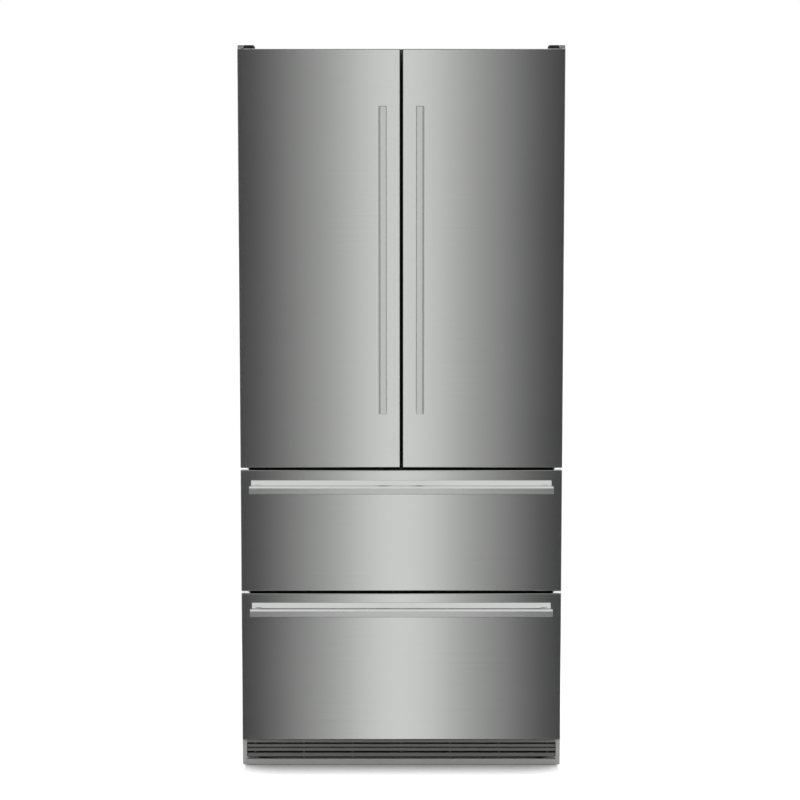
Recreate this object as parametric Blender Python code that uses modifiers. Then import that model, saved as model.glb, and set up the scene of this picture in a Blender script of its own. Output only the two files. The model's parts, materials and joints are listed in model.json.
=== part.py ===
"""A french door refrigerator over two freezer drawers, as separate pieces.

Metres, +Z up, the front faces -Y. The origin is on the floor, at the middle of the footprint.
Left and right are as seen by someone standing in front of the doors.
"""

import math

import bmesh
import bpy
from mathutils import Matrix, Vector

# Driving dimensions
HALF_WIDTH = 0.455
FRONT_Y = -0.290
HANDLE_Y = -0.340
REAR_Y = 0.340
GAP = 0.0004
SHEET = 0.0012
EDGE_RADIUS = 0.002

# Cabinet
CABINET_HALF = 0.4535
CABINET_FRONT_Y = -0.217
CABINET_TOP = 2.0385
CABINET_BOTTOM = 0.042
WRAP_INNER = CABINET_HALF - SHEET
BODY_HALF = WRAP_INNER - GAP
BODY_TOP = CABINET_TOP - SHEET - GAP
BODY_BOTTOM = 0.085
BODY_REAR_Y = 0.330
FLANGE_BACK_Y = CABINET_FRONT_Y + SHEET
CAVITY_HALF = 0.400
LINER = 0.0016
LINER_INNER = CAVITY_HALF - GAP - LINER
FRIDGE_Z = (0.895, 1.985)
FRIDGE_REAR_Y = 0.285
UPPER_Z = (0.533, 0.830)
UPPER_REAR_Y = 0.275
LOWER_Z = (0.125, 0.480)
LOWER_REAR_Y = 0.135
MACHINE_HALF = 0.405
MACHINE_TOP = 0.300
MACHINE_FRONT_Y = 0.175

# Doors and drawer fronts
DOOR_Z = (0.8645, 2.039)
DOOR_INNER_X = 0.0034
UPPER_FRONT_Z = (0.5095, 0.857)
LOWER_FRONT_Z = (0.0755, 0.502)
PANEL_BACK_Y = -0.230
SKIN_BACK_Y = -0.232
GASKET_BACK_Y = -0.2176
GASKET_WIDTH = 0.016
GASKET_HALF = 0.432

# Door hinge axis and pins
HINGE_X = 0.444
HINGE_Y = -0.260
PIN_RADIUS = 0.004
BORE_RADIUS = 0.005
PIN_DEPTH = 0.017
HINGE_TOP_Z = (2.0395, 2.0495)
LOWER_HINGE_Z = (0.8585, 0.8635)

# Handles: a bar on posts, with a sloped back rail on the drawers
BAR_LENGTH = 0.857
BAR_WIDTH = 0.0222
BAR_DEPTH = 0.024
BAR_CHAMFER = 0.005
POST_INSET = 0.0225
POST_WIDTH = 0.016
RAIL_HALF = 0.425
RAIL_RISE = 0.010
DOOR_HANDLE_X = 0.0525
DOOR_HANDLE_BOTTOM = 1.0238
UPPER_HANDLE_TOP = 0.8181
LOWER_HANDLE_TOP = 0.4655

# Drawer slides, measured from the centre height of each slide
UPPER_SLIDE_Z = 0.566
LOWER_SLIDE_Z = 0.158
SLIDE_FRONT_Y = -0.214
SLIDE_OUTER = 0.3976
CHANNEL_WALL = 0.0012

# Plinth
PLINTH_TOP = 0.0745
PLINTH_BOTTOM = 0.0006
PLINTH_Y = (-0.284, -0.270)
PLINTH_SIDE = 0.012
GRILLE_Z = (0.0163, 0.0658)
SLATS = ((0.0233, 0.0335), (0.0394, 0.0482), (0.0514, 0.0599))

# Feet, rollers and the machine compartment
FOOT_X = 0.400
FOOT_Y = -0.190
TRAY_Z = (0.042, 0.045)
ROLLER_Y = 0.290
ROLLER_RADIUS = 0.0175
ROLLER_WIDTH = 0.020
COMPRESSOR_X = 0.240
MACHINE_Y = 0.252
FAN_X = -0.060
FAN_Z = 0.125
FAN_RADIUS = 0.062

SHELF_Z = {"shelf_upper": 1.660, "shelf_middle": 1.400, "crisper_shelf": 1.135}
SHELF_Y = (-0.085, 0.268)
SHELF_THICK = 0.005
BIN_Z = {"lower": (0.940, 1.065), "upper": (1.455, 1.560)}

for leftover in list(bpy.data.objects):
    bpy.data.objects.remove(leftover, do_unlink=True)

PARTS = bpy.data.collections.new("french_door_refrigerator")
CUTTERS = bpy.data.collections.new("cutters")
bpy.context.scene.collection.children.link(PARTS)
bpy.context.scene.collection.children.link(CUTTERS)


def material(name, colour, roughness, metallic=0.0, alpha=1.0):
    made = bpy.data.materials.new(name)
    made.use_nodes = True
    shader = made.node_tree.nodes["Principled BSDF"]
    shader.inputs["Base Color"].default_value = (*colour, 1.0)
    shader.inputs["Roughness"].default_value = roughness
    shader.inputs["Metallic"].default_value = metallic
    shader.inputs["Alpha"].default_value = alpha
    made.diffuse_color = (*colour, alpha)
    return made


STAINLESS = material("stainless_panel", (0.60, 0.61, 0.60), 0.25, 1.0)
HANDLE_METAL = material("handle_metal", (0.62, 0.63, 0.63), 0.22, 1.0)
CABINET_PAINT = material("cabinet_paint", (0.20, 0.205, 0.21), 0.45, 0.4)
TRIM_GREY = material("plinth_grey", (0.19, 0.19, 0.185), 0.40, 0.6)
GRILLE_GREY = material("grille_grey", (0.10, 0.10, 0.10), 0.45, 0.4)
BLACK = material("black_plastic", (0.012, 0.012, 0.013), 0.40)
BRACKET_METAL = material("bracket_metal", (0.60, 0.60, 0.60), 0.35, 1.0)
LINER_WHITE = material("liner_white", (0.85, 0.86, 0.87), 0.35)
INNER_WHITE = material("inner_panel_white", (0.83, 0.84, 0.85), 0.35)
FOAM = material("foam", (0.80, 0.72, 0.48), 0.90)
GASKET_GREY = material("gasket_grey", (0.13, 0.13, 0.14), 0.65)
CLEAR = material("clear_plastic", (0.82, 0.88, 0.90), 0.10, 0.0, 0.45)
BIN_WHITE = material("bin_white", (0.80, 0.82, 0.84), 0.30)
GLASS = material("shelf_glass", (0.78, 0.90, 0.87), 0.05, 0.0, 0.35)
ZINC = material("zinc_steel", (0.55, 0.56, 0.57), 0.35, 1.0)
COMPRESSOR_BLACK = material("compressor_black", (0.02, 0.02, 0.022), 0.35, 0.3)
FAN_GREY = material("fan_plastic", (0.10, 0.10, 0.11), 0.50)


def place(name, mesh, finish=None):
    """A new part, or a hidden cutter when it has no finish."""
    made = bpy.data.objects.new(name, mesh)
    if finish is None:
        CUTTERS.objects.link(made)
        made.hide_render = True
        made.display_type = "WIRE"
    else:
        PARTS.objects.link(made)
        mesh.materials.append(finish)
    return made


def mesh_from(name, shape):
    bmesh.ops.recalc_face_normals(shape, faces=shape.faces)
    mesh = bpy.data.meshes.new(name)
    shape.to_mesh(mesh)
    shape.free()
    return mesh


def box_matrix(low, high):
    low, high = Vector(low), Vector(high)
    return Matrix.Translation((low + high) / 2) @ Matrix.Diagonal((*(high - low), 1.0))


def box(name, low, high, finish=None, bevel=0.0):
    shape = bmesh.new()
    bmesh.ops.create_cube(shape, size=1.0, matrix=box_matrix(low, high))
    if bevel:
        bmesh.ops.bevel(shape, geom=shape.edges[:], offset=bevel, segments=2, profile=0.5,
                        affect="EDGES")
    return place(name, mesh_from(name, shape), finish)


def both_sides(side, x_range):
    """An x range given for the right side, turned over for the left (side -1)."""
    return sorted(side * x for x in x_range)


def side_box(name, side, x_range, y_range, z_range, finish=None, bevel=0.0):
    x_low, x_high = both_sides(side, x_range)
    return box(name, (x_low, y_range[0], z_range[0]), (x_high, y_range[1], z_range[1]),
               finish, bevel)


AXIS_TURN = {
    "X": Matrix.Rotation(math.pi / 2, 4, "Y"),
    "Y": Matrix.Rotation(-math.pi / 2, 4, "X"),
    "Z": Matrix.Identity(4),
}


def cylinder(name, centre, radius, length, axis="Z", sides=16, finish=None):
    shape = bmesh.new()
    bmesh.ops.create_cone(shape, cap_ends=True, segments=sides, radius1=radius, radius2=radius,
                          depth=length, matrix=Matrix.Translation(centre) @ AXIS_TURN[axis])
    return place(name, mesh_from(name, shape), finish)


def boolean(target, operation, tools):
    for tool in tools:
        modifier = target.modifiers.new(operation.lower(), "BOOLEAN")
        modifier.operation = operation
        modifier.solver = "EXACT"
        modifier.object = tool
    return target


# Which world axes an outline's own x and y run along, with its thickness along the third
OUTLINE_FRAMES = {
    "XZ": Matrix(((1, 0, 0, 0), (0, 0, -1, 0), (0, 1, 0, 0), (0, 0, 0, 1))),
    "YZ": Matrix(((0, 0, 1, 0), (1, 0, 0, 0), (0, 1, 0, 0), (0, 0, 0, 1))),
    "XY": Matrix.Identity(4),
}
THICKNESS_AXIS = {"XZ": 1, "YZ": 0, "XY": 2}


def extruded(name, outline, plane, span, finish=None):
    """A flat outline in a world plane, given thickness over a span of the third axis."""
    curve = bpy.data.curves.new(name, "CURVE")
    curve.dimensions = "2D"
    curve.fill_mode = "BOTH"
    curve.extrude = (span[1] - span[0]) / 2
    spline = curve.splines.new("POLY")
    spline.points.add(len(outline) - 1)
    for point, (across, up) in zip(spline.points, outline):
        point.co = (across, up, 0.0, 1.0)
    spline.use_cyclic_u = True
    shift = Vector((0.0, 0.0, 0.0))
    shift[THICKNESS_AXIS[plane]] = (span[0] + span[1]) / 2
    drawn = bpy.data.objects.new(name + "_outline", curve)
    CUTTERS.objects.link(drawn)
    drawn.matrix_world = Matrix.Translation(shift) @ OUTLINE_FRAMES[plane]
    bpy.context.view_layer.update()
    evaluated = drawn.evaluated_get(bpy.context.evaluated_depsgraph_get())
    mesh = bpy.data.meshes.new_from_object(evaluated)
    shape = bmesh.new()
    shape.from_mesh(mesh)
    bmesh.ops.remove_doubles(shape, verts=shape.verts, dist=0.00001)
    made = place(name, mesh_from(name, shape), finish)
    made.matrix_world = drawn.matrix_world
    bpy.data.objects.remove(drawn)
    bpy.data.meshes.remove(mesh)
    return made


def turned(name, profile, place_at, axis, steps, finish=None):
    """A profile of (radius, height) points, top to bottom, turned about its axis."""
    shape = bmesh.new()
    points = [shape.verts.new((radius, 0.0, height)) for radius, height in profile]
    for first, second in zip(points, points[1:]):
        shape.edges.new((first, second))
    mesh = bpy.data.meshes.new(name)
    shape.to_mesh(mesh)
    shape.free()
    made = place(name, mesh, finish)
    made.matrix_world = Matrix.Translation(place_at) @ AXIS_TURN[axis]
    screw = made.modifiers.new("turn", "SCREW")
    screw.steps = steps
    screw.render_steps = steps
    screw.use_merge_vertices = True
    screw.merge_threshold = 0.00001
    screw.use_smooth_shade = True
    return made


def open_box(name, low, high, open_axis, wall, finish, draft, corner, folded=False):
    """A thin box with the face at the high end of one axis left out.

    A moulded one has all its corners rounded, and a folded one just those around the closed end.
    """
    axis = "XYZ".index(open_axis)
    shape = bmesh.new()
    bmesh.ops.create_cube(shape, size=1.0, matrix=box_matrix(low, high))
    middle = [(a + b) / 2 for a, b in zip(low, high)]
    for vert in shape.verts:
        if vert.co[axis] < middle[axis]:
            for other in {0, 1, 2} - {axis}:
                vert.co[other] += draft if vert.co[other] < middle[other] else -draft
    measure = max if folded else min
    edges = [e for e in shape.edges if measure(v.co[axis] for v in e.verts) < middle[axis]]
    bmesh.ops.bevel(shape, geom=edges, offset=corner, segments=4 if folded else 2, profile=0.5,
                    affect="EDGES")
    top = [f for f in shape.faces if all(abs(v.co[axis] - high[axis]) < 1e-6 for v in f.verts)]
    bmesh.ops.delete(shape, geom=top, context="FACES_ONLY")
    made = place(name, mesh_from(name, shape), finish)
    shell = made.modifiers.new("wall", "SOLIDIFY")
    shell.thickness = wall
    shell.offset = -1.0
    shell.use_even_offset = True
    return made


def ring(name, low, high, band, finish):
    """A rectangular ring facing the front, of one band width."""
    made = box(name, low, high, finish)
    inner_low = (low[0] + band, low[1] - 0.01, low[2] + band)
    inner_high = (high[0] - band, high[1] + 0.01, high[2] - band)
    return boolean(made, "DIFFERENCE", [box(name + "_opening", inner_low, inner_high)])


# ---- Cabinet ----

def cabinet_wrap():
    outer, inner = CABINET_HALF, WRAP_INNER
    top = CABINET_TOP
    ease = 0.002
    outline = [(-outer, CABINET_BOTTOM), (-outer, top - ease), (-outer + ease, top),
               (outer - ease, top), (outer, top - ease), (outer, CABINET_BOTTOM),
               (inner, CABINET_BOTTOM), (inner, top - SHEET), (-inner, top - SHEET),
               (-inner, CABINET_BOTTOM)]
    extruded("cabinet_wrap", outline, "XZ", (CABINET_FRONT_Y, REAR_Y), CABINET_PAINT)


def insulated_body():
    body = box("insulated_body", (-BODY_HALF, FLANGE_BACK_Y + GAP, BODY_BOTTOM),
               (BODY_HALF, BODY_REAR_Y, BODY_TOP), FOAM)
    front = CABINET_FRONT_Y - 0.05
    hollows = [
        box("fridge_hollow", (-CAVITY_HALF, front, FRIDGE_Z[0]),
            (CAVITY_HALF, FRIDGE_REAR_Y, FRIDGE_Z[1])),
        box("upper_freezer_hollow", (-CAVITY_HALF, front, UPPER_Z[0]),
            (CAVITY_HALF, UPPER_REAR_Y, UPPER_Z[1])),
        box("lower_freezer_hollow", (-CAVITY_HALF, front, LOWER_Z[0]),
            (CAVITY_HALF, LOWER_REAR_Y, LOWER_Z[1])),
        box("machine_hollow", (-MACHINE_HALF, MACHINE_FRONT_Y, BODY_BOTTOM - 0.05),
            (MACHINE_HALF, BODY_REAR_Y + 0.05, MACHINE_TOP)),
    ]
    boolean(body, "DIFFERENCE", hollows)


def back_panels():
    y_range = (BODY_REAR_Y + GAP, BODY_REAR_Y + GAP + SHEET)
    box("back_panel", (-BODY_HALF, y_range[0], MACHINE_TOP + 0.0055),
        (BODY_HALF, y_range[1], BODY_TOP), CABINET_PAINT)
    cover = box("machine_cover", (-BODY_HALF, y_range[0], TRAY_Z[1] + GAP),
                (BODY_HALF, y_range[1], MACHINE_TOP + 0.005), BLACK)
    boss = cylinder("cord_gland", (0.380, y_range[1] + 0.0034, 0.110), 0.013, 0.009, "Y", 16)
    boolean(cover, "UNION", [boss])
    vents = [box(f"vent_{side}_{row}", (side * 0.19 - 0.13, y_range[0] - 0.02, z),
                 (side * 0.19 + 0.13 - 0.04 * (side > 0), y_range[1] + 0.02, z + 0.006))
             for side in (-1, 1) for row, z in enumerate(0.085 + 0.030 * i for i in range(6))]
    boolean(cover, "DIFFERENCE", vents)


def tub(liner_name, label, z_range, rear_y):
    """The outer box of a moulded cavity and the cutter that hollows it."""
    low, high = z_range[0] + GAP, z_range[1] - GAP
    outer_half = CAVITY_HALF - GAP
    outer = box(f"{liner_name}_{label}_outer", (-outer_half, CABINET_FRONT_Y + 0.0004, low),
                (outer_half, rear_y - GAP, high))
    inner = box(f"{liner_name}_{label}_inner",
                (-LINER_INNER, CABINET_FRONT_Y - 0.05, low + LINER),
                (LINER_INNER, rear_y - GAP - LINER, high - LINER))
    return outer, inner


def shelf_ledges():
    ledges = []
    for name, z in SHELF_Z.items():
        for side in (-1, 1):
            ledges.append(side_box(f"{name}_ledge_{side}", side,
                                   (LINER_INNER - 0.010, LINER_INNER + 0.0008),
                                   (-0.070, 0.255), (z - 0.008, z - GAP)))
    return ledges


def liners():
    fridge = box("fridge_liner", (-BODY_HALF, CABINET_FRONT_Y, 0.8625),
                 (BODY_HALF, FLANGE_BACK_Y, BODY_TOP), LINER_WHITE)
    outer, inner = tub("fridge_liner", "tub", FRIDGE_Z, FRIDGE_REAR_Y)
    boolean(fridge, "UNION", [outer])
    boolean(fridge, "DIFFERENCE", [inner])
    boolean(fridge, "UNION", shelf_ledges())

    freezer = box("freezer_liner", (-BODY_HALF, CABINET_FRONT_Y, BODY_BOTTOM),
                  (BODY_HALF, FLANGE_BACK_Y, 0.8620), LINER_WHITE)
    tubs = [tub("freezer_liner", "upper", UPPER_Z, UPPER_REAR_Y),
            tub("freezer_liner", "lower", LOWER_Z, LOWER_REAR_Y)]
    boolean(freezer, "UNION", [outer for outer, _ in tubs])
    boolean(freezer, "DIFFERENCE", [inner for _, inner in tubs])


def centre_mullion():
    clearance = GAP + LINER + GAP
    box("centre_mullion", (-0.030, CABINET_FRONT_Y, FRIDGE_Z[0] + clearance),
        (0.030, CABINET_FRONT_Y + 0.032, FRIDGE_Z[1] - clearance), BLACK, 0.002)


def base_tray():
    tray = box("base_tray", (-BODY_HALF, CABINET_FRONT_Y + 0.002, TRAY_Z[0]),
               (BODY_HALF, BODY_REAR_Y, TRAY_Z[1]), ZINC)
    rail_top = BODY_BOTTOM - GAP
    added = []
    for side in (-1, 1):
        added.append(side_box(f"tray_rail_{side}", side, (BODY_HALF - 0.003, BODY_HALF),
                              (CABINET_FRONT_Y + 0.002, BODY_REAR_Y),
                              (TRAY_Z[0] + 0.001, rail_top)))
        added.append(side_box(f"tray_beam_{side}", side, (0.150, 0.153),
                              (CABINET_FRONT_Y + 0.012, MACHINE_FRONT_Y - 0.004),
                              (TRAY_Z[0] + 0.001, rail_top)))
        half = ROLLER_WIDTH / 2
        for end in (-1, 1):
            x = FOOT_X + end * (half + 0.0025)
            added.append(side_box(f"roller_ear_{side}_{end}", side, (x - 0.001, x + 0.001),
                                  (ROLLER_Y - 0.012, ROLLER_Y + 0.012),
                                  (0.010, TRAY_Z[0] + 0.001)))
        added.append(cylinder(f"roller_axle_{side}", (side * FOOT_X, ROLLER_Y, ROLLER_RADIUS),
                              0.0040, ROLLER_WIDTH + 0.006, "X", 12))
    added.append(box("fan_stand", (FAN_X + 0.022, MACHINE_Y - 0.012, TRAY_Z[0] + 0.001),
                     (FAN_X + 0.026, MACHINE_Y + 0.012, FAN_Z + 0.010)))
    added.append(cylinder("fan_motor", (FAN_X + 0.036, MACHINE_Y, FAN_Z), 0.020, 0.032, "X", 16))
    added.append(cylinder("fan_shaft", (FAN_X + 0.012, MACHINE_Y, FAN_Z), 0.003, 0.030, "X", 12))
    boolean(tray, "UNION", added)


def feet_and_rollers():
    pad, stem = 0.022, 0.006
    top = TRAY_Z[0] - GAP
    for side, word in ((-1, "left"), (1, "right")):
        profile = [(0.0, top), (stem, top), (stem, 0.016), (0.012, 0.013), (pad, 0.010),
                   (pad, 0.0015), (pad - 0.0015, 0.0), (0.0, 0.0)]
        turned(f"front_foot_{word}", profile, (side * FOOT_X, FOOT_Y, 0.0), "Z", 20, BLACK)
        half, bore = ROLLER_WIDTH / 2, 0.0048
        rim = [(bore, half), (ROLLER_RADIUS - 0.002, half), (ROLLER_RADIUS, half - 0.002),
               (ROLLER_RADIUS, -half + 0.002), (ROLLER_RADIUS - 0.002, -half), (bore, -half),
               (bore, half)]
        turned(f"rear_roller_{word}", rim, (side * FOOT_X, ROLLER_Y, ROLLER_RADIUS), "X", 24,
               BLACK)


def machine_parts():
    floor = TRAY_Z[1] + GAP
    shell = [(0.0, floor + 0.180), (0.018, floor + 0.179), (0.040, floor + 0.170),
             (0.055, floor + 0.154), (0.062, floor + 0.130), (0.062, floor + 0.085),
             (0.066, floor + 0.080), (0.066, floor + 0.072), (0.062, floor + 0.067),
             (0.060, floor + 0.030), (0.048, floor + 0.012), (0.070, floor + 0.010),
             (0.070, floor), (0.0, floor)]
    turned("compressor", shell, (COMPRESSOR_X, MACHINE_Y, 0.0), "Z", 28, COMPRESSOR_BLACK)

    fins, pitch, fin = 11, 0.013, 0.0015
    spine_y, tip_y = MACHINE_Y + 0.055, MACHINE_Y - 0.050
    outline = [(spine_y, floor), (spine_y, floor + pitch * (fins - 1) + fin)]
    for index in reversed(range(fins)):
        z = floor + pitch * index
        outline += [(tip_y, z + fin), (tip_y, z)]
        if index:
            outline += [(spine_y - 0.004, z), (spine_y - 0.004, z - pitch + fin)]
    extruded("condenser", outline, "YZ", (-0.340, -0.130), ZINC)


def fan_blade():
    centre = Vector((FAN_X, MACHINE_Y, FAN_Z))
    fan = cylinder("fan_blade", centre, 0.019, 0.014, "X", 20, FAN_GREY)
    blades = []
    for index in range(5):
        shape = bmesh.new()
        bmesh.ops.create_cube(shape, size=1.0, matrix=Matrix.Diagonal((0.0022, 0.030, 0.050, 1)))
        for vert in shape.verts:
            vert.co.y *= 0.7 if vert.co.z < 0 else 1.15
        pitch = Matrix.Rotation(math.radians(28), 4, "Z")
        spin = Matrix.Rotation(math.tau * index / 5, 4, "X")
        lift = Matrix.Translation((0.0, 0.0, FAN_RADIUS - 0.0265))
        bmesh.ops.transform(shape, verts=shape.verts,
                            matrix=Matrix.Translation(centre) @ spin @ lift @ pitch)
        blades.append(place(f"fan_blade_cut_{index}", mesh_from("blade", shape)))
    boolean(fan, "UNION", blades)
    bore = cylinder("fan_bore", centre + Vector((0.006, 0, 0)), 0.0038, 0.022, "X", 16)
    boolean(fan, "DIFFERENCE", [bore])


def plinth():
    half = HALF_WIDTH
    frame = box("plinth_frame", (-half, PLINTH_Y[0], PLINTH_BOTTOM),
                (half, PLINTH_Y[1], PLINTH_TOP), TRIM_GREY, 0.002)
    opening = box("plinth_opening", (-half + PLINTH_SIDE, PLINTH_Y[0] - 0.01, GRILLE_Z[0]),
                  (half - PLINTH_SIDE, PLINTH_Y[1] + 0.01, GRILLE_Z[1]))
    returns = [side_box(f"plinth_return_{side}", side, (half - 0.003, half - 0.0002),
                        (PLINTH_Y[1] - 0.006, CABINET_FRONT_Y - 0.0006),
                        (PLINTH_BOTTOM + 0.0022, PLINTH_TOP - 0.0022)) for side in (-1, 1)]
    boolean(frame, "DIFFERENCE", [opening])
    boolean(frame, "UNION", returns)

    reach = half - PLINTH_SIDE - 0.0005
    slat_y = (PLINTH_Y[0] + 0.003, PLINTH_Y[1] - 0.003)
    first, *others = [box(f"plinth_slat_{index}", (-reach, slat_y[0], low),
                          (reach, slat_y[1], high), GRILLE_GREY if index == 0 else None, 0.001)
                      for index, (low, high) in enumerate(SLATS)]
    first.name = "plinth_grille"
    ribs = 7
    posts = [box(f"plinth_rib_{index}", (x - 0.0015, slat_y[1] - 0.003, GRILLE_Z[0] + 0.0006),
                 (x + 0.0015, slat_y[1] + 0.010, GRILLE_Z[1] - 0.0006))
             for index, x in enumerate(-0.42 + 0.84 * i / (ribs - 1) for i in range(ribs))]
    boolean(first, "UNION", others + posts)


# ---- Hinges and the light end plates in the gaps ----

def top_hinges():
    """A metal arm over each outer corner, and a black cap beside it that meets it on a slant."""
    z_low, z_high = HINGE_TOP_Z
    for side, word in ((-1, "left"), (1, "right")):
        arm_outline = [(0.4545, z_low), (0.4545, z_high - 0.001), (0.4535, z_high),
                       (0.4352, z_high), (0.4395, z_low)]
        arm = extruded(f"hinge_bracket_{word}", [(side * x, z) for x, z in arm_outline], "XZ",
                       (-0.2885, -0.130), BRACKET_METAL)
        pin = cylinder(f"top_pin_{word}", (side * HINGE_X, HINGE_Y, z_low - PIN_DEPTH / 2 + 0.002),
                       PIN_RADIUS, PIN_DEPTH + 0.004, "Z", 12)
        boolean(arm, "UNION", [pin])
        edge, radius = 0.4095, 0.007
        arc = [(edge + radius - radius * math.cos(a), z_high - radius + radius * math.sin(a))
               for a in (math.radians(15 * i) for i in range(7))]
        outline = [(edge, z_low), *arc, (0.4348, z_high), (0.4391, z_low)]
        extruded(f"hinge_cap_{word}", [(side * x, z) for x, z in outline], "XZ",
                 (-0.2875, -0.215), BLACK)


def gap_plate(name, side, z_range, finish):
    """A plate in the gap under a front, with its inner end cut on a slant."""
    outer, inner = HALF_WIDTH - 0.0005, HALF_WIDTH - 0.0235
    slant = (z_range[1] - z_range[0]) * 0.8
    outline = [(side * outer, z_range[0]), (side * outer, z_range[1]),
               (side * (inner + slant), z_range[1]), (side * inner, z_range[0])]
    return extruded(name, outline, "XZ", (FRONT_Y + 0.002, CABINET_FRONT_Y - 0.0006), finish)


def lower_hinges():
    for side, word in ((-1, "left"), (1, "right")):
        plate = gap_plate(f"lower_hinge_{word}", side, LOWER_HINGE_Z, BRACKET_METAL)
        pin = cylinder(f"lower_pin_{word}",
                       (side * HINGE_X, HINGE_Y, LOWER_HINGE_Z[1] + PIN_DEPTH / 2 - 0.002),
                       PIN_RADIUS, PIN_DEPTH + 0.004, "Z", 12)
        plate_edge = side_box(f"lower_pin_seat_{word}", side, (HINGE_X - 0.007, HALF_WIDTH - 0.003),
                              (HINGE_Y - 0.008, HINGE_Y + 0.008),
                              (LOWER_HINGE_Z[0] + 0.0005, LOWER_HINGE_Z[1] + 0.0005))
        boolean(plate, "UNION", [plate_edge, pin])
        gap_plate(f"gap_plate_{word}", side, (LOWER_FRONT_Z[1] + 0.0015, UPPER_FRONT_Z[0] - 0.0015),
                  BRACKET_METAL)


# ---- Fresh food compartment ----

def shelves():
    reach = LINER_INNER - GAP
    for name, z in SHELF_Z.items():
        shelf = box(name, (-reach, SHELF_Y[0], z), (reach, SHELF_Y[1], z + SHELF_THICK), GLASS)
        lip = box(name + "_lip", (-reach + 0.012, SHELF_Y[0] - 0.004, z - 0.008),
                  (reach - 0.012, SHELF_Y[0] + 0.004, z + SHELF_THICK + 0.003))
        boolean(shelf, "UNION", [lip])


def crispers():
    floor = FRIDGE_Z[0] + GAP + LINER + GAP
    for side, word in ((-1, "left"), (1, "right")):
        x_low, x_high = both_sides(side, (0.003, LINER_INNER - 0.002))
        bin_box = open_box(f"crisper_{word}", (x_low, -0.070, floor), (x_high, 0.262, 1.115), "Z",
                           0.0025, CLEAR, 0.004, 0.006)
        grip = box(f"crisper_grip_{word}", (x_low + 0.08, -0.082, 1.085),
                   (x_high - 0.08, -0.0685, 1.110))
        boolean(bin_box, "UNION", [grip])


# ---- Doors ----

def door(side, word):
    x_range = (DOOR_INNER_X, HALF_WIDTH)
    x_low, x_high = both_sides(side, x_range)
    skin = front_skin(f"{word}_door_skin", (x_low, x_high), DOOR_Z)
    bores = []
    for label, z in (("top", DOOR_Z[1]), ("bottom", DOOR_Z[0])):
        inward = -1 if label == "top" else 1
        centre = (side * HINGE_X, HINGE_Y, z + inward * 0.010)
        bores.append(cylinder(f"{word}_{label}_bore", centre, BORE_RADIUS, 0.024, "Z", 16))
    boolean(skin, "DIFFERENCE", bores)

    inner = front_core(f"{word}_door_inner", (x_low, x_high), DOOR_Z)
    dyke_low, dyke_high = both_sides(side, (0.042, 0.385))
    dyke = ring(f"{word}_dyke", (dyke_low, PANEL_BACK_Y - 0.004, 0.915),
                (dyke_high, -0.190, 1.965), 0.020, None)
    boolean(inner, "UNION", [dyke])
    boolean(inner, "DIFFERENCE", bores)

    gasket_low, gasket_high = both_sides(side, (0.008, GASKET_HALF))
    ring(f"{word}_door_gasket", (gasket_low, PANEL_BACK_Y + GAP, 0.876),
         (gasket_high, GASKET_BACK_Y, 2.005), GASKET_WIDTH, GASKET_GREY)
    for level, z_range in BIN_Z.items():
        bin_low, bin_high = both_sides(side, (0.063, 0.364))
        open_box(f"{word}_door_bin_{level}", (bin_low, PANEL_BACK_Y + 0.001, z_range[0]),
                 (bin_high, -0.125, z_range[1]), "Z", 0.0022, CLEAR, 0.003, 0.004)


def front_skin(name, x_range, z_range):
    """A sheet steel front with its four edges folded back."""
    return open_box(name, (x_range[0], FRONT_Y, z_range[0]), (x_range[1], SKIN_BACK_Y, z_range[1]),
                    "Y", SHEET, STAINLESS, 0.0, EDGE_RADIUS, True)


def front_core(name, x_range, z_range):
    """The foamed slab that fills a skin, flush behind it, with its front edges eased."""
    lining = SHEET + GAP
    shape = bmesh.new()
    low = (x_range[0] + lining, FRONT_Y + lining, z_range[0] + lining)
    high = (x_range[1] - lining, PANEL_BACK_Y, z_range[1] - lining)
    bmesh.ops.create_cube(shape, size=1.0, matrix=box_matrix(low, high))
    edges = [e for e in shape.edges if all(v.co.y < low[1] + 0.001 for v in e.verts)]
    bmesh.ops.bevel(shape, geom=edges, offset=EDGE_RADIUS - 0.0005, segments=2, profile=0.5,
                    affect="EDGES")
    return place(name, mesh_from(name, shape), INNER_WHITE)


def bar_outline(width, chamfer_side):
    """The bar's section as (across, depth) points, chamfered at the front on one side."""
    back = HANDLE_Y + BAR_DEPTH
    ease = 0.001
    points = [(0.0, back), (0.0, HANDLE_Y + ease), (ease, HANDLE_Y),
              (width - BAR_CHAMFER, HANDLE_Y), (width, HANDLE_Y + BAR_CHAMFER), (width, back)]
    return [(chamfer_side * across, depth) for across, depth in points]


def door_handle(side, word):
    """An upright bar on two posts, chamfered on the side away from the middle."""
    start = DOOR_HANDLE_X - BAR_WIDTH / 2
    outline = [(side * start + across, depth) for across, depth in bar_outline(BAR_WIDTH, side)]
    z_range = (DOOR_HANDLE_BOTTOM, DOOR_HANDLE_BOTTOM + BAR_LENGTH)
    handle = extruded(f"{word}_door_handle", outline, "XY", z_range, HANDLE_METAL)
    posts = []
    for end, z in enumerate((z_range[0] + POST_INSET, z_range[1] - POST_INSET)):
        posts.append(side_box(f"{word}_handle_post_{end}", side,
                              (start + 0.004, start + BAR_WIDTH - 0.004),
                              (HANDLE_Y + BAR_DEPTH - 0.003, FRONT_Y - GAP),
                              (z - POST_WIDTH / 2, z + POST_WIDTH / 2)))
    boolean(handle, "UNION", posts)


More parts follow.
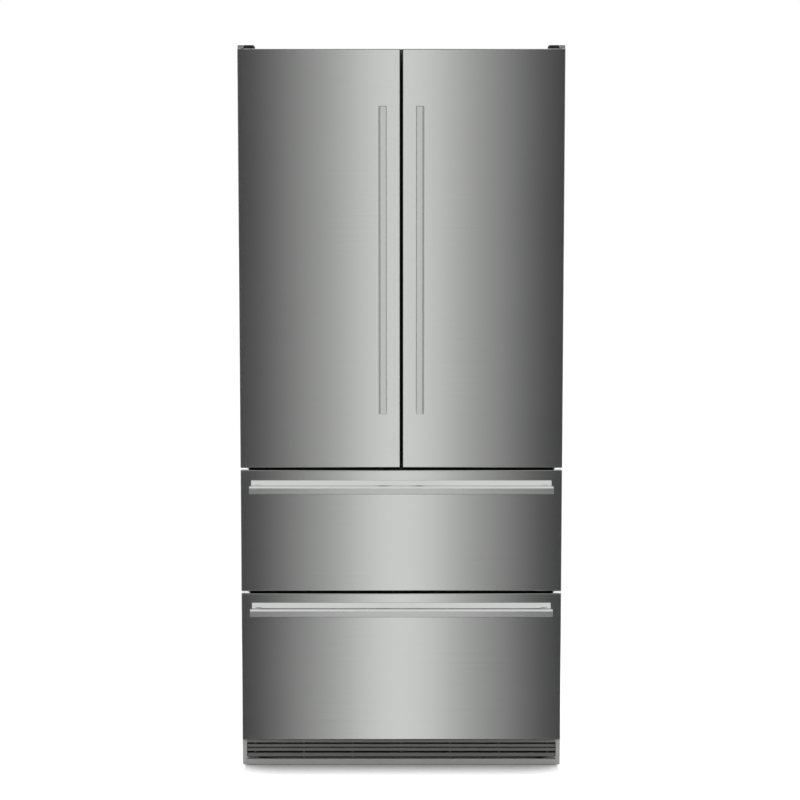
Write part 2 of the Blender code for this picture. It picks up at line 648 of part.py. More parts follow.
def drawer_handle(name, bar_top):
    """A level bar on two posts, chamfered on top, with a sloped rail behind it."""
    bottom = bar_top - BAR_WIDTH
    outline = [(depth, bottom + across) for across, depth in bar_outline(BAR_WIDTH, 1)]
    handle = extruded(name, outline, "YZ", (-BAR_LENGTH / 2, BAR_LENGTH / 2), HANDLE_METAL)
    rail_back = FRONT_Y - GAP
    rail_outline = [(rail_back, bar_top + RAIL_RISE), (rail_back - 0.0015, bar_top + RAIL_RISE),
                    (rail_back - 0.0125, bar_top - 0.0035), (rail_back, bar_top - 0.0085)]
    joined = [extruded(name + "_rail", rail_outline, "YZ", (-RAIL_HALF, RAIL_HALF))]
    for side in (-1, 1):
        middle = BAR_LENGTH / 2 - POST_INSET
        joined.append(side_box(f"{name}_post_{side}", side,
                               (middle - POST_WIDTH / 2, middle + POST_WIDTH / 2),
                               (HANDLE_Y + BAR_DEPTH - 0.003, rail_back - 0.001),
                               (bar_top - 0.0070, bar_top - 0.0008)))
    boolean(handle, "UNION", joined)


# ---- Drawers ----

def drawer(word, front_z, slide_z, rear_y, bin_top, handle_top):
    front_skin(f"{word}_drawer_skin", (-HALF_WIDTH, HALF_WIDTH), front_z)
    front_core(f"{word}_drawer_inner", (-HALF_WIDTH, HALF_WIDTH), front_z)
    drawer_handle(f"{word}_drawer_handle", handle_top)
    slides(word, slide_z, rear_y)
    frame_low = slide_z - 0.014
    bin_front = PANEL_BACK_Y + 0.0065
    open_box(f"{word}_drawer_bin", (-0.372, bin_front, frame_low + 0.0064),
             (0.372, rear_y - 0.012, bin_top), "Z", 0.003, BIN_WHITE, 0.006, 0.006)


def channel(slide_z, outer_x, half_height, mouth_x):
    """The C section of the right hand slide, with its mouth towards the middle."""
    wall = CHANNEL_WALL
    top, bottom = slide_z + half_height, slide_z - half_height
    return [(outer_x, top), (outer_x, bottom), (mouth_x, bottom), (mouth_x, bottom + wall),
            (outer_x - wall, bottom + wall), (outer_x - wall, top - wall), (mouth_x, top - wall),
            (mouth_x, top)]


def slides(word, slide_z, rear_y):
    """Fixed channels, the coupled middle channels, and the bars that carry the drawer."""
    rear = rear_y - 0.005
    for side, hand in ((-1, "left"), (1, "right")):
        outline = [(side * x, z) for x, z in channel(slide_z, SLIDE_OUTER, 0.020, 0.3880)]
        extruded(f"{word}_rail_{hand}", outline, "XZ", (SLIDE_FRONT_Y, rear), ZINC)
    channels = []
    for side in (-1, 1):
        outline = [(side * x, z) for x, z in channel(slide_z, 0.3956, 0.0170, 0.3845)]
        channels.append(extruded(f"{word}_slide_channel_{side}", outline, "XZ",
                                 (SLIDE_FRONT_Y + 0.002, rear - 0.001)))
    tie = box(f"{word}_mid_slide", (-0.3866, rear - 0.026, slide_z - 0.0240),
              (0.3866, rear - 0.006, slide_z - 0.0162), ZINC)
    boolean(tie, "UNION", channels)

    front_y = PANEL_BACK_Y + GAP
    frame = box(f"{word}_drawer_frame", (-0.380, front_y, slide_z - 0.014),
                (0.380, front_y + 0.0050, slide_z + 0.045), ZINC)
    bars = [side_box(f"{word}_slide_bar_{side}", side, (0.3775, 0.3935),
                     (front_y + 0.0010, rear - 0.002), (slide_z - 0.0139, slide_z + 0.0139))
            for side in (-1, 1)]
    cross = box(f"{word}_cross_bar", (-0.3785, rear - 0.040, slide_z - 0.0135),
                (0.3785, rear - 0.028, slide_z - 0.0080))
    boolean(frame, "UNION", [*bars, cross])


def drawers():
    drawer("upper", UPPER_FRONT_Z, UPPER_SLIDE_Z, UPPER_REAR_Y, 0.800, UPPER_HANDLE_TOP)
    ring("upper_drawer_gasket", (-GASKET_HALF, PANEL_BACK_Y + GAP, 0.5125),
         (GASKET_HALF, GASKET_BACK_Y, 0.8480), GASKET_WIDTH, GASKET_GREY)
    drawer("lower", LOWER_FRONT_Z, LOWER_SLIDE_Z, LOWER_REAR_Y, 0.440, LOWER_HANDLE_TOP)
    ring("lower_drawer_gasket", (-GASKET_HALF, PANEL_BACK_Y + GAP, 0.0955),
         (GASKET_HALF, GASKET_BACK_Y, 0.5000), GASKET_WIDTH, GASKET_GREY)


cabinet_wrap()
insulated_body()
back_panels()
liners()
centre_mullion()
base_tray()
feet_and_rollers()
machine_parts()
fan_blade()
plinth()
top_hinges()
lower_hinges()
shelves()
crispers()
for door_side, door_word in ((-1, "left"), (1, "right")):
    door(door_side, door_word)
    door_handle(door_side, door_word)
drawers()
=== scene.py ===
"""The finished look of a french door refrigerator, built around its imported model.

Metres, +Z up, the front faces -Y. Left and right are as seen from in front of the doors.
"""

import json
import math

import bmesh
import bpy
from mathutils import Matrix, Vector

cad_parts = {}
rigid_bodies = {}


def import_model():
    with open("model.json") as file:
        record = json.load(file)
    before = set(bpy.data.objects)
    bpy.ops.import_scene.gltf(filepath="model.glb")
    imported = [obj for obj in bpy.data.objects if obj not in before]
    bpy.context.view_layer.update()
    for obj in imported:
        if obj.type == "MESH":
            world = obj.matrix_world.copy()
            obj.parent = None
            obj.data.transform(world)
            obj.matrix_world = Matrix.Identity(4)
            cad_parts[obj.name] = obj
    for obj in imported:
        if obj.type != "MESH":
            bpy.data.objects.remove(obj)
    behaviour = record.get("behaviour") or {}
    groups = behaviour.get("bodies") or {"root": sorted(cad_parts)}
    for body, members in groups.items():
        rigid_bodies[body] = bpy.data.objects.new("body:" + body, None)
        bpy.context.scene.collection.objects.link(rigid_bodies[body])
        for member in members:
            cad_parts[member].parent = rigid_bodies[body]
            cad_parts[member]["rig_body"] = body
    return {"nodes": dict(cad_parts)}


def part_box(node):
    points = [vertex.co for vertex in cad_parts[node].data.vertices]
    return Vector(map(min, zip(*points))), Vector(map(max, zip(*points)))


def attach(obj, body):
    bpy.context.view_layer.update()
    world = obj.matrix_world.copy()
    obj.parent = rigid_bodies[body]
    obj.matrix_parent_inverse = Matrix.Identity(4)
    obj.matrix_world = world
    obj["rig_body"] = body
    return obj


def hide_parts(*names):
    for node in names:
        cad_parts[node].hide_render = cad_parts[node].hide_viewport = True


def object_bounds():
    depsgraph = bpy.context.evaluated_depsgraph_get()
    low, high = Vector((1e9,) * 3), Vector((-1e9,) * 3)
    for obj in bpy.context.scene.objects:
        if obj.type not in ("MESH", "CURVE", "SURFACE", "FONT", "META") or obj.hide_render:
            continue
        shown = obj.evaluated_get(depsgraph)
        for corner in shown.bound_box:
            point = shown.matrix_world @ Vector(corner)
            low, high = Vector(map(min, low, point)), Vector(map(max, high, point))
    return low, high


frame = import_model()
CAD_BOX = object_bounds()

# Camera: straight in front, at the height of the door tops, tipped down at the drawers
CAMERA_X = -0.0038
CAMERA_DISTANCE = 7.486
CAMERA_PITCH = 7.47
CAMERA_LENS = 120.5
CAMERA_SENSOR = 36.0

# What metal reflects, in scene linear units, at angles in degrees from straight in front. The
# strip and the ring add up; the underside and the ceiling take over below and above.
STRIP_REACH = 15.0
STRIP = ((0.0, 1.28), (0.7, 1.08), (1.4, 0.40), (2.1, 0.46), (2.8, 0.08), (3.5, 0.0), (15.0, 0.0))
RING = ((4.6, 0.0), (7.0, 0.16), (10.0, 0.28), (14.0, 0.42), (20.0, 0.56), (28.0, 0.30),
        (36.0, 0.70), (44.0, 0.30), (52.0, 0.34), (60.0, 0.60), (68.0, 0.64), (78.0, 0.44),
        (90.0, 0.44), (104.0, 0.40), (115.0, 0.66), (130.0, 0.36), (148.0, 0.26),
        (165.0, 0.62), (180.0, 0.48))
UNDERSIDE = 0.05
UNDERSIDE_ANGLES = (-45.0, -62.0)
CEILING = 0.78
CEILING_ANGLES = (22.0, 50.0)
# What everything else gets from the same world
SOFT_WORLD = 0.60

# Floor: white, with a painted contact shadow where the part is near, and the plain background from
# a distance on
FLOOR_HALF = 20.0
FLOOR_WHITE = (0.90, 0.90, 0.90)
FLOOR_FADE = (1.0, 2.2)
FLOOR_LIFT = 0.38
CONTACT_GREY = (0.24, 0.24, 0.24)
CONTACT_REACH = 0.17
# Where the contact shadow ends at each side, measured from the side of the part
CONTACT_SIDES = (-0.015, 0.001)

# Softboxes: name, place, target, size and power
SOFTBOXES = (("key", (0.0, -3.2, 4.6), (0.0, -0.8, 0.2), (5.0, 2.5), 170.0),
             ("left_fill", (-4.0, -1.0, 2.4), (0.0, 0.0, 1.0), (2.5, 3.0), 60.0),
             ("right_fill", (4.0, -1.0, 2.4), (0.0, 0.0, 1.0), (2.5, 3.0), 60.0),
             ("back_fill", (0.0, 4.0, 3.2), (0.0, 0.3, 0.8), (4.0, 2.5), 80.0))

# Faces that meet at more than this many degrees keep a sharp edge, or get a rounded one
SHARP_ANGLE = 32.0
ROUNDED_ANGLE = 35.0


def linked(name, data):
    """An object in the scene that shows the data."""
    made = bpy.data.objects.new(name, data)
    bpy.context.scene.collection.objects.link(made)
    return made


# ---- Camera, floor and light ----

def camera():
    data = bpy.data.cameras.new("camera")
    data.lens = CAMERA_LENS
    data.sensor_width = CAMERA_SENSOR
    made = linked("camera", data)
    low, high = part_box("left_door_skin")
    made.location = (CAMERA_X, low.y - CAMERA_DISTANCE, high.z)
    made.rotation_euler = (math.radians(90.0 - CAMERA_PITCH), 0.0, 0.0)
    bpy.context.scene.camera = made


class Tree:
    """A node tree, with short ways to add nodes and join them."""

    def __init__(self, tree):
        self.tree = tree

    def put(self, socket, value):
        if isinstance(value, bpy.types.NodeSocket):
            self.tree.links.new(value, socket)
        else:
            socket.default_value = value

    def add(self, kind, inputs=None, **settings):
        node = self.tree.nodes.new("ShaderNode" + kind)
        for key, value in settings.items():
            setattr(node, key, value)
        for key, value in (inputs or {}).items():
            self.put(node.inputs[key], value)
        return node

    def math(self, operation, *values):
        node = self.add("Math", dict(enumerate(values)), operation=operation)
        return node.outputs[0]

    def remap(self, value, source, target, smooth=False):
        node = self.add("MapRange", {"Value": value, "From Min": source[0], "From Max": source[1],
                                     "To Min": target[0], "To Max": target[1]})
        if smooth:
            node.interpolation_type = "SMOOTHSTEP"
        return node.outputs["Result"]

    def mix(self, factor, first, second):
        node = self.add("Mix", data_type="RGBA")
        self.put(node.inputs[0], factor)
        for socket, value in ((node.inputs[6], first), (node.inputs[7], second)):
            fixed = not isinstance(value, bpy.types.NodeSocket)
            self.put(socket, (*value, 1.0) if fixed else value)
        return node.outputs[2]

    def ramp(self, factor, stops):
        """A grey ramp with a stop at each (position, value)."""
        node = self.add("ValToRGB", {"Fac": factor})
        elements = node.color_ramp.elements
        while len(elements) > 1:
            elements.remove(elements[-1])
        for index, (position, value) in enumerate(stops):
            stop = elements[0] if index == 0 else elements.new(position)
            stop.position = position
            stop.color = (value, value, value, 1.0)
        return node.outputs["Color"]


def studio_world():
    """Plain white behind the object. Metal mirrors an upright strip and a ring of soft lights."""
    world = bpy.data.worlds.new("studio")
    bpy.context.scene.world = world
    world.use_nodes = True
    world.node_tree.nodes.clear()
    tree = Tree(world.node_tree)
    direction = tree.add("TexCoord").outputs["Generated"]
    parts = tree.add("SeparateXYZ", {0: direction}).outputs
    turn = tree.math("ARCTAN2", parts["X"], tree.math("MULTIPLY", parts["Y"], -1.0))
    degrees = tree.math("DEGREES", tree.math("ABSOLUTE", turn))
    strip = tree.ramp(tree.math("DIVIDE", degrees, STRIP_REACH),
                      [(angle / STRIP_REACH, value) for angle, value in STRIP])
    ring = tree.ramp(tree.math("DIVIDE", degrees, 180.0),
                     [(angle / 180.0, value) for angle, value in RING])
    walls = tree.add("VectorMath", {0: strip, 1: ring}, operation="ADD").outputs[0]
    height = tree.math("DEGREES", tree.math("ARCSINE", parts["Z"]))
    ceiling = tree.remap(height, CEILING_ANGLES, (0.0, 1.0), smooth=True)
    below = tree.remap(height, UNDERSIDE_ANGLES, (0.0, 1.0), smooth=True)
    mirrored = tree.mix(below, tree.mix(ceiling, walls, (CEILING,) * 3), (UNDERSIDE,) * 3)

    shown = tree.add("Background", {"Color": (1.0, 1.0, 1.0, 1.0)})
    glossy = tree.add("Background", {"Color": mirrored})
    soft = tree.add("Background", {"Color": (1.0, 1.0, 1.0, 1.0), "Strength": SOFT_WORLD})
    path = tree.add("LightPath").outputs
    lit = tree.add("MixShader", {0: path["Is Glossy Ray"], 1: soft.outputs[0],
                                 2: glossy.outputs[0]})
    seen = tree.add("MixShader", {0: path["Is Camera Ray"], 1: lit.outputs[0],
                                  2: shown.outputs[0]})
    output = tree.add("OutputWorld")
    tree.put(output.inputs["Surface"], seen.outputs[0])


def softbox(name, place, target, size, power):
    data = bpy.data.lights.new(name, "AREA")
    data.shape = "RECTANGLE"
    data.size, data.size_y = size
    data.energy = power
    made = linked(name, data)
    made.location = place
    made.rotation_euler = (Vector(target) - Vector(place)).to_track_quat("-Z", "Y").to_euler()
    made.visible_glossy = False
    made.visible_camera = False


def floor():
    shape = bmesh.new()
    bmesh.ops.create_grid(shape, x_segments=1, y_segments=1, size=FLOOR_HALF)
    mesh = bpy.data.meshes.new("floor")
    shape.to_mesh(mesh)
    shape.free()
    made = linked("floor", mesh)
    made.visible_glossy = False
    shader = Shader("floor")
    near = shader.add("AmbientOcclusion", {"Distance": CONTACT_REACH}, samples=8)
    across = shader.add("SeparateXYZ", {0: shader.where}).outputs["X"]
    side = CAD_BOX[1].x
    beside = shader.remap(shader.math("ABSOLUTE", across),
                          (side + CONTACT_SIDES[0], side + CONTACT_SIDES[1]), (0.0, 1.0),
                          smooth=True)
    open_floor = shader.math("POWER", shader.remap(near.outputs["AO"], (0.5, 1.0), (0.0, 1.0)), 1.3)
    light = shader.math("MAXIMUM", open_floor, beside)
    near_white = shader.mix(light, CONTACT_GREY, FLOOR_WHITE)
    reach = shader.add("VectorMath", {0: shader.where}, operation="LENGTH").outputs["Value"]
    far = shader.remap(reach, FLOOR_FADE, (0.0, 1.0), smooth=True)
    colour = shader.mix(far, near_white, (0.0, 0.0, 0.0))
    lift = shader.math("MULTIPLY", light, FLOOR_LIFT)
    glow = shader.math("MAXIMUM", far, lift)
    shader.finish(colour=colour, roughness=0.8, glow=glow, glow_colour=(1.0, 1.0, 1.0, 1.0))
    mesh.materials.append(shader.made)


# ---- Materials ----

def scaled(colour, factor):
    return tuple(min(1.0, part * factor) for part in colour)


class Shader(Tree):
    """One material. Textures are placed by the object's own coordinates, in metres."""

    def __init__(self, name):
        self.made = bpy.data.materials.new(name)
        self.made.use_nodes = True
        super().__init__(self.made.node_tree)
        self.surface = self.tree.nodes["Principled BSDF"]
        self.where = self.add("TexCoord").outputs["Object"]

    def noise(self, scale, detail=2.0, stretch=(1.0, 1.0, 1.0)):
        """Noise with about scale features a metre, times the stretch along each axis."""
        moved = self.add("Mapping", {"Vector": self.where, "Scale": stretch})
        node = self.add("TexNoise", {"Vector": moved.outputs[0], "Scale": scale, "Detail": detail})
        return node.outputs["Fac"]

    def cells(self, scale, output="Color"):
        node = self.add("TexVoronoi", {"Vector": self.where, "Scale": scale}, feature="F1")
        return node.outputs[output]

    def tones(self, factor, colour, spread):
        """The colour, darker and lighter by a share of itself as the factor varies."""
        return self.mix(self.remap(factor, (0.35, 0.65), (0.0, 1.0)),
                        scaled(colour, 1.0 - spread), scaled(colour, 1.0 + spread))

    def polish(self, factor, roughness, spread):
        """The roughness, lower and higher by a share of itself as the factor varies."""
        return self.remap(factor, (0.3, 0.7),
                          (roughness * (1.0 - spread), roughness * (1.0 + spread)))

    def bump(self, height, strength, distance):
        inputs = {"Height": height, "Strength": strength, "Distance": distance}
        return self.add("Bump", inputs).outputs[0]

    def edges(self, radius):
        """1 near a sharp edge and 0 on open surface, from how far a rounded normal leans."""
        rounded = self.add("Bevel", {"Radius": radius}, samples=4).outputs[0]
        flat = self.add("NewGeometry").outputs["Normal"]
        lean = self.add("VectorMath", {0: rounded, 1: flat}, operation="DOT_PRODUCT")
        return self.remap(lean.outputs["Value"], (0.98, 0.80), (0.0, 1.0))

    def finish(self, colour, roughness, metallic=0.0, normal=None, **others):
        names = {"anisotropy": "Anisotropic", "tangent": "Tangent",
                 "transmission": "Transmission Weight", "ior": "IOR",
                 "glow": "Emission Strength", "glow_colour": "Emission Color",
                 "specular": "Specular IOR Level"}
        if not isinstance(colour, bpy.types.NodeSocket):
            colour = (*colour, 1.0)
        self.put(self.surface.inputs["Base Color"], colour)
        self.put(self.surface.inputs["Roughness"], roughness)
        self.put(self.surface.inputs["Metallic"], metallic)
        if normal is not None:
            self.put(self.surface.inputs["Normal"], normal)
        for key, value in others.items():
            self.put(self.surface.inputs[names[key]], value)
        return self.made


def brushed_steel(name, colour, roughness, grain, anisotropy=0.0, strength=0.06, shaded_edge_depth=None):
    """Steel with a fine brushed grain, stretched along the axes where grain is small.

    Sideways facing edges in front of a given depth are painted nearly black: a painted shade on the
    rounded upright edges.
    """
    shader = Shader(name)
    fine = shader.noise(1.0, 3.0, tuple(g * 2200.0 + 6.0 for g in grain))
    streaks = shader.noise(1.0, 4.0, tuple(g * 260.0 + 1.2 for g in grain))
    clouds = shader.noise(3.0, 2.0)
    shade = shader.math("ADD", shader.math("MULTIPLY", fine, 0.55),
                        shader.math("ADD", shader.math("MULTIPLY", streaks, 0.25),
                                    shader.math("MULTIPLY", clouds, 0.20)))
    tone = shader.tones(shade, colour, 0.03)
    polish = shader.polish(shade, roughness, 0.06)
    normal = shader.bump(fine, strength, 0.00002)
    # Painted shade: sideways facing faces at the front are darkened to near black
    if shaded_edge_depth:
        facing = shader.add("SeparateXYZ", {0: shader.add("TexCoord").outputs["Normal"]})
        sideways = shader.remap(shader.math("ABSOLUTE", facing.outputs["X"]), (0.10, 0.35),
                                (0.0, 1.0))
        depth = shader.add("SeparateXYZ", {0: shader.where}).outputs["Y"]
        folded = shader.math("MULTIPLY", sideways, shader.math("LESS_THAN", depth, shaded_edge_depth))
        tone = shader.mix(folded, tone, scaled(colour, 0.12))
    others = {}
    if anisotropy:
        tangent = shader.add("Tangent", direction_type="RADIAL", axis="X")
        others = {"anisotropy": anisotropy, "tangent": tangent.outputs[0]}
    return shader.finish(tone, polish, 1.0, normal, **others)


def painted(name, colour, roughness, metallic=0.0, peel=700.0, depth=0.00006, wear_and_highlight=0.0,
            shaded_top=None):
    """Paint with orange peel, faint clouding, and lighter edges in places, partly wear and partly a
    painted highlight.

    Above a height and within a reach of the middle it is darker, a painted shade from what
    overhangs it, given as (height, reach, colour).
    """
    shader = Shader(name)
    skin = shader.noise(peel, 2.0)
    clouds = shader.noise(6.0, 3.0)
    tone = shader.tones(clouds, colour, 0.03)
    # Painted shade: the top of the part, under what overhangs it, takes a darker colour
    if shaded_top:
        parts = shader.add("SeparateXYZ", {0: shader.where}).outputs
        high = shader.math("GREATER_THAN", parts["Z"], shaded_top[0])
        within = shader.math("LESS_THAN", shader.math("ABSOLUTE", parts["X"]), shaded_top[1])
        tone = shader.mix(shader.math("MULTIPLY", high, within), tone, shaded_top[2])
    # Lighter edges: partly wear, partly a painted highlight along the edges
    if wear_and_highlight:
        bare_or_lit = tuple(min(1.0, part + wear_and_highlight) for part in colour)
        chips_and_highlight = shader.math("MULTIPLY", shader.edges(0.0012), shader.noise(90.0, 4.0))
        tone = shader.mix(chips_and_highlight, tone, bare_or_lit)
    polish = shader.polish(shader.noise(40.0, 3.0), roughness, 0.12)
    return shader.finish(tone, polish, metallic, shader.bump(skin, 0.35, depth))


def moulded(name, colour, roughness, grain=1600.0, depth=0.00004, **others):
    """Moulded plastic with a fine spark grain and a few broad flow marks."""
    shader = Shader(name)
    spark = shader.cells(grain, output="Distance")
    tone = shader.tones(shader.noise(9.0, 3.0), colour, 0.02)
    polish = shader.polish(shader.noise(60.0, 3.0), roughness, 0.15)
    return shader.finish(tone, polish, 0.0, shader.bump(spark, 0.05, depth), **others)


def liner_plastic():
    """White formed sheet, with the front of the flange around the cavities in dark grey."""
    shader = Shader("liner_white")
    flow = shader.noise(3.0, 2.0)
    white = shader.mix(shader.remap(flow, (0.35, 0.65), (0.0, 1.0)), (0.735, 0.745, 0.755),
                       (0.76, 0.77, 0.78))
    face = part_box("fridge_liner")[0].y + 0.0011
    depth = shader.add("SeparateXYZ", {0: shader.where}).outputs["Y"]
    inside = shader.math("GREATER_THAN", depth, face)
    tone = shader.mix(inside, (0.030, 0.031, 0.033), white)
    gloss = shader.remap(shader.noise(30.0, 3.0), (0.3, 0.7), (0.40, 0.48))
    polish = shader.math("MAXIMUM", gloss, shader.remap(inside, (0.0, 1.0), (0.55, 0.0)))
    peel = shader.bump(shader.noise(380.0, 2.0), 0.03, 0.00004)
    return shader.finish(tone, polish, 0.0, peel)


def galvanised(name, colour, roughness):
    """Zinc coated steel with its spangle."""
    shader = Shader(name)
    spangle = shader.cells(120.0)
    level = shader.add("RGBToBW", {0: spangle}).outputs[0]
    tone = shader.mix(level, scaled(colour, 0.82), scaled(colour, 1.12))
    polish = shader.remap(level, (0.0, 1.0), (roughness * 0.8, roughness * 1.25))
    return shader.finish(tone, polish, 1.0, shader.bump(shader.noise(900.0), 0.2, 0.00004))


def clear(name, colour, roughness, ior):
    """Clear moulded or float sheet, very slightly clouded."""
    shader = Shader(name)
    haze = shader.noise(14.0, 3.0)
    tone = shader.mix(haze, colour, scaled(colour, 1.04))
    polish = shader.polish(haze, roughness, 0.4)
    ripple = shader.bump(shader.noise(60.0, 1.0), 0.12, 0.0001)
    return shader.finish(tone, polish, 0.0, ripple, transmission=0.92, ior=ior)


def foam_material():
    shader = Shader("foam")
    bubbles = shader.cells(420.0, output="Distance")
    tone = shader.mix(bubbles, (0.62, 0.50, 0.26), (0.86, 0.76, 0.50))
    return shader.finish(tone, 0.9, 0.0, shader.bump(bubbles, 0.6, 0.0006))


MATERIALS = {
    # The upright edges at the front of the skins get a painted shade
    "stainless_panel": brushed_steel("stainless_panel", (0.60, 0.612, 0.60), 0.115, (0, 0, 1), 0.7,
                                     shaded_edge_depth=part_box("left_door_skin")[0].y + 0.0019),
    "handle_metal": brushed_steel("handle_metal", (0.65, 0.66, 0.65), 0.135, (1, 1, 0), 0.5, 0.03),
    # A lighter copy of the handle metal for the drawer handles: the lighter colour is painted light
    "handle_level": brushed_steel("handle_level", (0.78, 0.79, 0.78), 0.165, (0, 1, 1), 0.35, 0.03),
    "bracket_metal": brushed_steel("bracket_metal", (0.62, 0.62, 0.61), 0.26, (0, 1, 1)),
    "cabinet_paint": painted("cabinet_paint", (0.155, 0.158, 0.162), 0.42, 0.3),
    # The plinth's top rail is darker: painted shade under the drawer's overhang
    "plinth_grey": painted("plinth_grey", (0.37, 0.37, 0.365), 0.36, 0.5, wear_and_highlight=0.12,
                           shaded_top=(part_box("plinth_grille")[1].z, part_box("plinth_grille")[1].x,
                                  (0.17, 0.17, 0.168))),
    "grille_grey": painted("grille_grey", (0.115, 0.115, 0.113), 0.42, 0.3, wear_and_highlight=0.08),
    "black_plastic": moulded("black_plastic", (0.010, 0.010, 0.011), 0.55, specular=0.2),
    "inner_panel_white": moulded("inner_panel_white", (0.74, 0.75, 0.76), 0.42, 700.0),
    "bin_white": moulded("bin_white", (0.72, 0.74, 0.76), 0.38, 900.0),
    "gasket_grey": moulded("gasket_grey", (0.10, 0.10, 0.108), 0.60, 2600.0),
    "fan_plastic": moulded("fan_plastic", (0.075, 0.075, 0.082), 0.45),
    "compressor_black": painted("compressor_black", (0.016, 0.016, 0.018), 0.30, 0.0, 420.0),
    "liner_white": liner_plastic(),
    "zinc_steel": galvanised("zinc_steel", (0.56, 0.57, 0.58), 0.32),
    "clear_plastic": clear("clear_plastic", (0.90, 0.95, 0.97), 0.07, 1.49),
    "shelf_glass": clear("shelf_glass", (0.90, 0.97, 0.94), 0.03, 1.52),
    "foam": foam_material(),
    # White paint on the gap plates and lower hinges: a painted highlight
    "end_plate_highlight_white": painted("end_plate_highlight_white", (0.86, 0.86, 0.86), 0.35),
    "lamp_lens": clear("lamp_lens", (0.92, 0.94, 0.95), 0.35, 1.45),
    "copper": brushed_steel("copper", (0.72, 0.38, 0.22), 0.28, (1, 1, 0)),
}


def dress_nodes():
    """Gives each CAD node the finished version of its own material, or a finish of its own."""
    for name, node in frame["nodes"].items():
        slot = node.material_slots[0]
        key = slot.material.name.split(".")[0]
        # The drawer handles take a lighter copy of the handle metal, brushed along their length:
        # the lighter colour is painted light
        if name.endswith("_drawer_handle"):
            key = "handle_level"
        # The gap plates and lower hinges are painted white, a painted highlight at the ends of the
        # gaps
        if name.startswith(("gap_plate", "lower_hinge")):
            key = "end_plate_highlight_white"
        slot.material = MATERIALS[key]


# ---- Building pieces ----

def smoothed(mesh):
    mesh.shade_smooth()
    mesh.set_sharp_from_angle(angle=math.radians(SHARP_ANGLE))
    return mesh


def finish_mesh(shape, name):
    bmesh.ops.recalc_face_normals(shape, faces=shape.faces)
    mesh = bpy.data.meshes.new(name)
    shape.to_mesh(mesh)
    shape.free()
    return smoothed(mesh)


def level_faces(made):
    """Keeps large flat faces shaded flat, so that only the small rounded faces shade smoothly."""
    modifier = made.modifiers.new("level_faces", "WEIGHTED_NORMAL")
    modifier.weight = 100
    modifier.keep_sharp = True


def add_piece(name, data, finish, body):
    """A new piece that moves with a body, in one of the finishes."""
    made = linked(name, data)
    data.materials.append(MATERIALS[finish])
    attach(made, body)
    if made.type == "MESH":
        level_faces(made)
    return made


def refined(node, radius=0.0, segments=2, chosen=None):
    """Stands for a node: the same shape, its flat faces whole and its sharp edges rounded.

    With chosen, only the edges for which it is true are rounded.
    """
    source = frame["nodes"][node]
    shape = bmesh.new()
    shape.from_mesh(source.data)
    bmesh.ops.remove_doubles(shape, verts=shape.verts, dist=0.000002)
    bmesh.ops.dissolve_limit(shape, angle_limit=math.radians(0.6), verts=shape.verts,
                             edges=shape.edges)
    if radius:
        edges = [edge for edge in shape.edges
                 if edge.is_manifold and edge.calc_face_angle(0.0) > math.radians(ROUNDED_ANGLE)
                 and (chosen is None or chosen(edge))]
        bmesh.ops.bevel(shape, geom=edges, offset=radius, segments=segments, profile=0.5,
                        affect="EDGES", clamp_overlap=True)
    mesh = finish_mesh(shape, node + "_finished")
    made = linked(node + "_finished", mesh)
    mesh.materials.append(source.material_slots[0].material)
    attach(made, source["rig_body"])
    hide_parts(node)
    level_faces(made)


def rounded_box(shape, low, high, radius, segments=3):
    low, high = Vector(low), Vector(high)
    matrix = Matrix.Translation((low + high) / 2) @ Matrix.Diagonal((*(high - low), 1.0))
    made = bmesh.ops.create_cube(shape, size=1.0, matrix=matrix)["verts"]
    edges = list({edge for vert in made for edge in vert.link_edges})
    bmesh.ops.bevel(shape, geom=edges, offset=radius, segments=segments, profile=0.5,
                    affect="EDGES")


def rounded_loop(low, high, radius, steps=5):
    """Points around a rectangle with rounded corners."""
    corners = ((high[0], high[1], 0), (low[0], high[1], 90), (low[0], low[1], 180),
               (high[0], low[1], 270))
    points = []
    for across, up, start in corners:
        for step in range(steps + 1):
            turn = math.radians(start + 90.0 * step / steps)
            side = Vector((math.copysign(1, across - (low[0] + high[0]) / 2),
                           math.copysign(1, up - (low[1] + high[1]) / 2)))
            points.append((across - side.x * radius + radius * math.cos(turn),
                           up - side.y * radius + radius * math.sin(turn)))
    return points


def swept_ring(shape, low, high, profile, lift, corner):
    """A closed profile of (inset, height) points carried around a rounded rectangle.

    lift turns (across, up, height) into a point in the world.
    """
    rings = []
    for inset, height in profile:
        loop = rounded_loop((low[0] + inset, low[1] + inset), (high[0] - inset, high[1] - inset),
                            max(corner - inset, 0.0004))
        rings.append([shape.verts.new(lift(across, up, height)) for across, up in loop])
    count = len(rings[0])
    for first, second in zip(rings, rings[1:] + rings[:1]):
        for index in range(count):
            after = (index + 1) % count
            shape.faces.new((first[index], first[after], second[after], second[index]))


def turned(shape, profile, matrix, steps=32):
    """A profile of (radius, height) points turned about Z, then placed by a matrix."""
    rings = []
    for radius, height in profile:
        if radius == 0.0:
            rings.append([shape.verts.new(matrix @ Vector((0.0, 0.0, height)))] * steps)
            continue
        rings.append([shape.verts.new(matrix @ Vector((radius * math.cos(math.tau * step / steps),
                                                       radius * math.sin(math.tau * step / steps),
                                                       height))) for step in range(steps)])
    for first, second in zip(rings, rings[1:]):
        for index in range(steps):
            after = (index + 1) % steps
            corners = [first[index], first[after], second[after], second[index]]
            distinct = list(dict.fromkeys(corners))
            if len(distinct) > 2:
                shape.faces.new(distinct)


# Turns a shape that stands along Z so that it stands out of the back
TO_BACK = Matrix.Rotation(-math.pi / 2, 4, "X")
SCREW_SIZE = 0.0042


